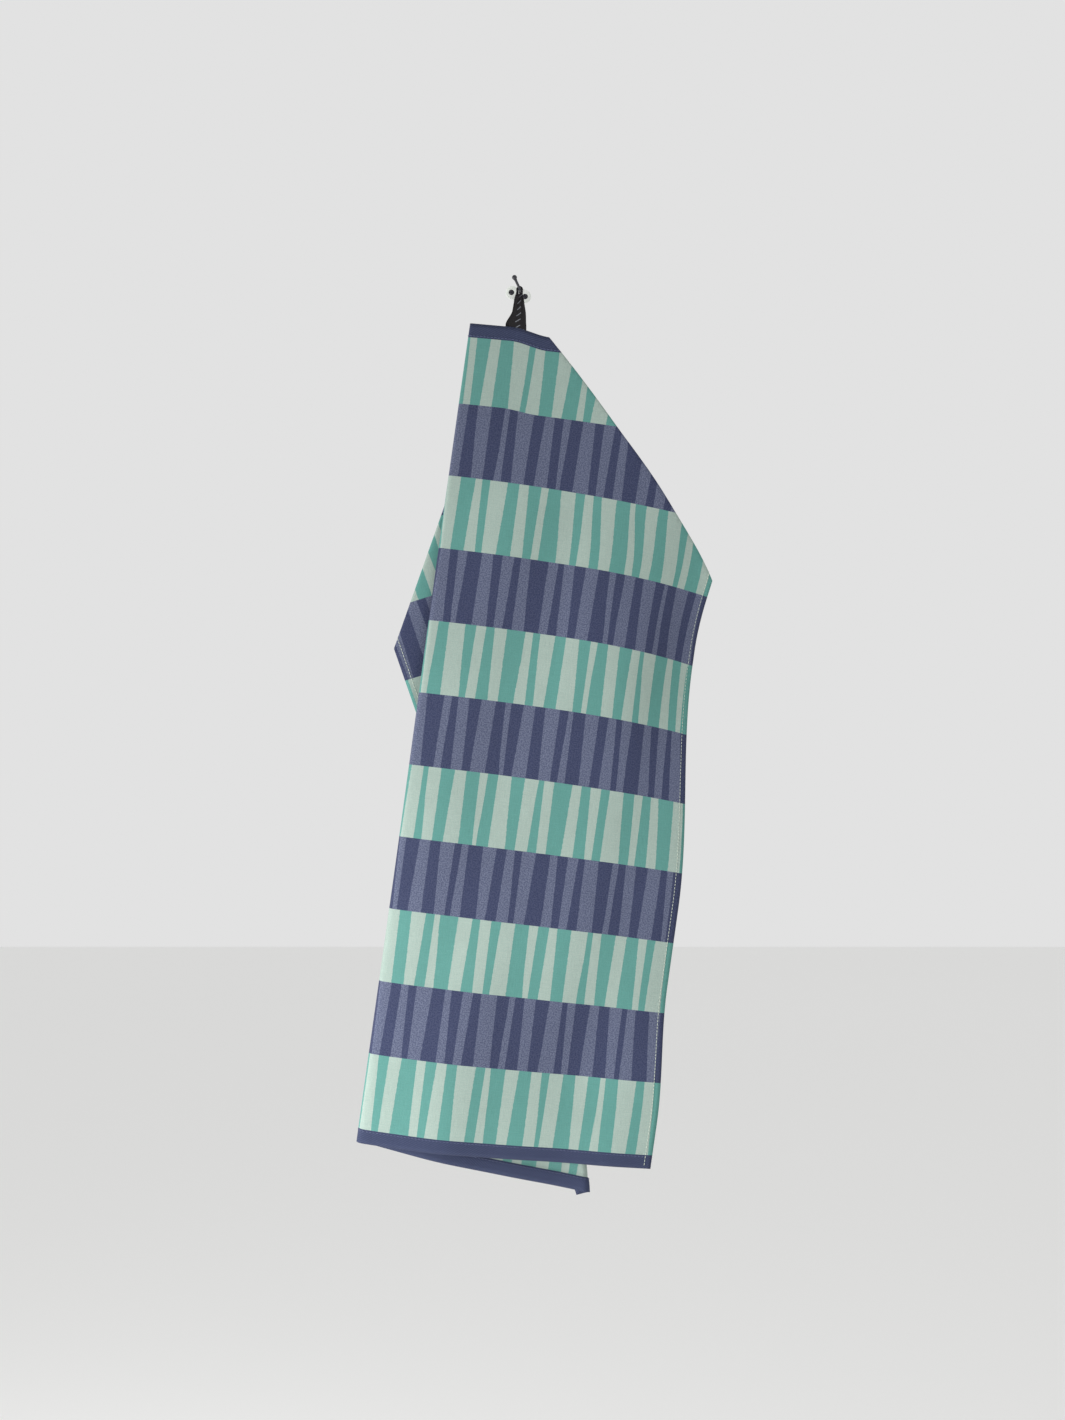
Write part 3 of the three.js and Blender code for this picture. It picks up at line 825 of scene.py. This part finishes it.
def build_loop():
    sections = tape_sections()
    middles = np.array([section[0] for section in sections])
    steps = np.linalg.norm(np.diff(middles, axis=0), axis=1)
    lengths = np.concatenate([[0], np.cumsum(steps)])
    columns = 29
    shares = np.linspace(-1, 1, columns)
    outer, inner, flat = [], [], []
    for (middle, outward, widthwise, width), length in zip(sections, lengths):
        spare = 1 - width / TAPE_WIDTH
        pleat = 1.7 * spare * (0.5 - 0.5 * np.cos(3 * math.pi * (shares + 0.08)))
        cup = 0.5 * shares ** 2 * min(1.0, 1.6 * (1 - spare)) * spare
        line = middle + np.outer(shares * width / 2, widthwise) + np.outer(pleat - cup, outward)
        line[:, 2] -= (shares * width / 2 * widthwise[0]) * math.tan(math.radians(6)) * (1 - spare)
        outer.append(line + outward * TAPE_HALF_THICK)
        inner.append(line - outward * TAPE_HALF_THICK)
        flat.append(np.stack([shares * TAPE_WIDTH / 2, np.full(columns, length)], axis=1))
    rows = len(sections)
    verts = np.concatenate(outer + inner)
    count = rows * columns
    faces = []
    for j in range(rows - 1):
        for i in range(columns - 1):
            a = j * columns + i
            quad = (a, a + 1, a + columns + 1, a + columns)
            faces.append(quad[::-1])
            faces.append(tuple(count + k for k in quad))
    border = list(range(columns)) + [j * columns + columns - 1 for j in range(1, rows)]
    border += [(rows - 1) * columns + i for i in range(columns - 2, -1, -1)]
    border += [j * columns for j in range(rows - 2, 0, -1)]
    for a, b in zip(border, border[1:] + border[:1]):
        faces.append((a, b, count + b, count + a))
    loop = new_piece("tape_loop", verts, faces, [black_tape])
    corners = np.zeros(len(loop.data.loops), int)
    loop.data.loops.foreach_get("vertex_index", corners)
    uv = np.concatenate(flat + flat)[corners] * MM
    loop.data.uv_layers.new(name="cloth").data.foreach_set("uv", uv.ravel())
    return loop, lengths[-1]


tape_loop, tape_length = build_loop()
print("tape is", round(tape_length), "mm long")

# %% [markdown]
# ## The hook
# The hook is a pale rounded plate, two small dark screws and a thin black arm that ends in a ball
# so that it can't tear the cloth. The arm is a sweep of a circle along the arm's middle line,
# with the ball and a small neck turned on its end. The plate and the screws start from the
# frame's own solids: a narrow bevel on every hard edge is what makes pressed metal look real.

# %% Metals
def painted(name, colour, worn, roughness, wear):
    """Painted metal with a fine orange-peel surface and a little wear."""
    recipe = Recipe(name, roughness)
    place = recipe.own_place()
    peel = recipe.noise(place, 1400, 2.0)
    patches = recipe.noise(place, 240, 3.0)
    above = recipe.maths("SUBTRACT", patches, 0.56)
    worn_share = recipe.maths("MULTIPLY_ADD", above, wear, 0.0, clamp=True)
    colour = recipe.mix(worn_share, colour, worn)
    rough = recipe.maths("MULTIPLY_ADD", patches, 0.3, roughness - 0.12)
    return recipe.finish(colour, peel, 0.00006, rough)


black_paint = painted("black_paint", srgb(34, 34, 42), srgb(92, 92, 104), 0.38, 3.0)
pale_paint = painted("pale_paint", srgb(222, 226, 220), srgb(190, 194, 190), 0.45, 2.0)

# %% Turn the arm and its ball
ball_low, ball_high = (np.array(point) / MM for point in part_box("ball_tip"))
ball = (ball_low + ball_high) / 2
BALL_RADIUS = 2.1
ARM_OUT = 15.5
BEND_LENGTH = 4.0
ARM_SIDES = 28


def arm_path():
    """The arm's middle line: straight out of the plate, round a bend and up to the ball."""
    start = np.array([swing[0], -0.3, swing[2]])
    bend_at = np.array([swing[0], -ARM_OUT, swing[2]])
    rise_dir = (ball - bend_at) / np.linalg.norm(ball - bend_at)
    before = bend_at + np.array([0, BEND_LENGTH * 0.15, 0])
    after = bend_at + rise_dir * BEND_LENGTH
    line = [start + (before - start) * t for t in np.linspace(0, 1, 12)[:-1]]
    for t in np.linspace(0, 1, 16):
        line.append((1 - t) ** 2 * before + 2 * t * (1 - t) * (bend_at - [0, 0.9, 0]) + t ** 2 * after)
    end = ball - rise_dir * (BALL_RADIUS - 0.2)
    line += [after + (end - after) * t for t in np.linspace(0, 1, 10)[1:]]
    return np.array(line), rise_dir


def swept(name, line, radii, material):
    """A closed round bar along a line, with a radius at every point of it."""
    verts, faces = [], []
    normal = np.array([1.0, 0.0, 0.0])
    for i, point in enumerate(line):
        tangent = line[min(i + 1, len(line) - 1)] - line[max(i - 1, 0)]
        tangent = tangent / np.linalg.norm(tangent)
        normal = normal - tangent * (normal @ tangent)
        normal = normal / np.linalg.norm(normal)
        other = np.cross(tangent, normal)
        for k in range(ARM_SIDES):
            angle = 2 * math.pi * k / ARM_SIDES
            verts.append(point + radii[i] * (math.cos(angle) * normal + math.sin(angle) * other))
    for i in range(len(line) - 1):
        for k in range(ARM_SIDES):
            a, b = i * ARM_SIDES + k, i * ARM_SIDES + (k + 1) % ARM_SIDES
            faces.append((a, b, b + ARM_SIDES, a + ARM_SIDES))
    faces.append(tuple(range(ARM_SIDES))[::-1])
    last = (len(line) - 1) * ARM_SIDES
    faces.append(tuple(last + k for k in range(ARM_SIDES)))
    return new_piece(name, verts, faces, [material])


arm_line, arm_rise = arm_path()
arm = swept("hook_rod", arm_line, [ROD_RADIUS] * len(arm_line), black_paint)
turns = np.linspace(-1, 1, 25) * math.pi / 2
profile = [(math.sin(t) * BALL_RADIUS, max(math.cos(t) * BALL_RADIUS, 0.02)) for t in turns]
neck = [(-BALL_RADIUS - 0.9, ROD_RADIUS + 0.02), (-BALL_RADIUS - 0.5, ROD_RADIUS + 0.28),
        (-BALL_RADIUS * 0.86, ROD_RADIUS + 0.12)]
outline = neck + [(along, radius) for along, radius in profile if along > -BALL_RADIUS * 0.8]
ball_end = swept("ball_end", np.array([ball + arm_rise * along for along, _ in outline]),
                 [radius for _, radius in outline], black_paint)
print("arm reaches", round(-ball[1], 1), "mm from the wall")

# %% Ease the edges of the plate and the screws
def eased_copy(node, name, material, width):
    """A copy of a frame solid with its flat facets joined and its hard edges bevelled."""
    source = frame["nodes"][node]
    mesh = source.data.copy()
    mesh.materials.clear()
    mesh.materials.append(material)
    shape = bmesh.new()
    shape.from_mesh(mesh)
    bmesh.ops.remove_doubles(shape, verts=shape.verts, dist=1e-6)
    bmesh.ops.dissolve_limit(shape, angle_limit=math.radians(1), verts=shape.verts, edges=shape.edges)
    shape.to_mesh(mesh)
    shape.free()
    mesh.polygons.foreach_set("use_smooth", [True] * len(mesh.polygons))
    piece = bpy.data.objects.new(name, mesh)
    bpy.context.scene.collection.objects.link(piece)
    bevel = piece.modifiers.new("eased edges", "BEVEL")
    bevel.width = width
    bevel.segments = 3
    bevel.limit_method = "ANGLE"
    bevel.angle_limit = math.radians(35)
    bevel.harden_normals = True
    return piece


plate = eased_copy("hook_plate", "wall_plate", pale_paint, 0.0005)
screws = [eased_copy(side + "_screw", side + "_screw_head", black_paint, 0.00015)
          for side in ("left", "right")]
print("plate and", len(screws), "screws eased")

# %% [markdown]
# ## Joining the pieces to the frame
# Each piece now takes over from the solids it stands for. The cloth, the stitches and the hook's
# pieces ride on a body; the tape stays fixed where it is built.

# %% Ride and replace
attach(towel, "towel")
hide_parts("top_hem", "front_fall", "front_corner_flap", "inner_fall", "rear_fall",
            "rear_corner_flap", "front_bottom_hem", "inner_bottom_hem")
for row in seam_rows:
    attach(row, "towel")

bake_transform(tape_loop)
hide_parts("hanging_loop")

for piece, node, metal in ((arm, "hook_arm", "black_metal"), (ball_end, "ball_tip", "black_metal"),
                           (plate, "hook_plate", "pale_metal"),
                           (screws[0], "left_screw", "black_metal"),
                           (screws[1], "right_screw", "black_metal")):
    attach(piece, "hook")
    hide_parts(node)

# %% Finish
print("pieces:", len(frame["nodes"]), "solids replaced")
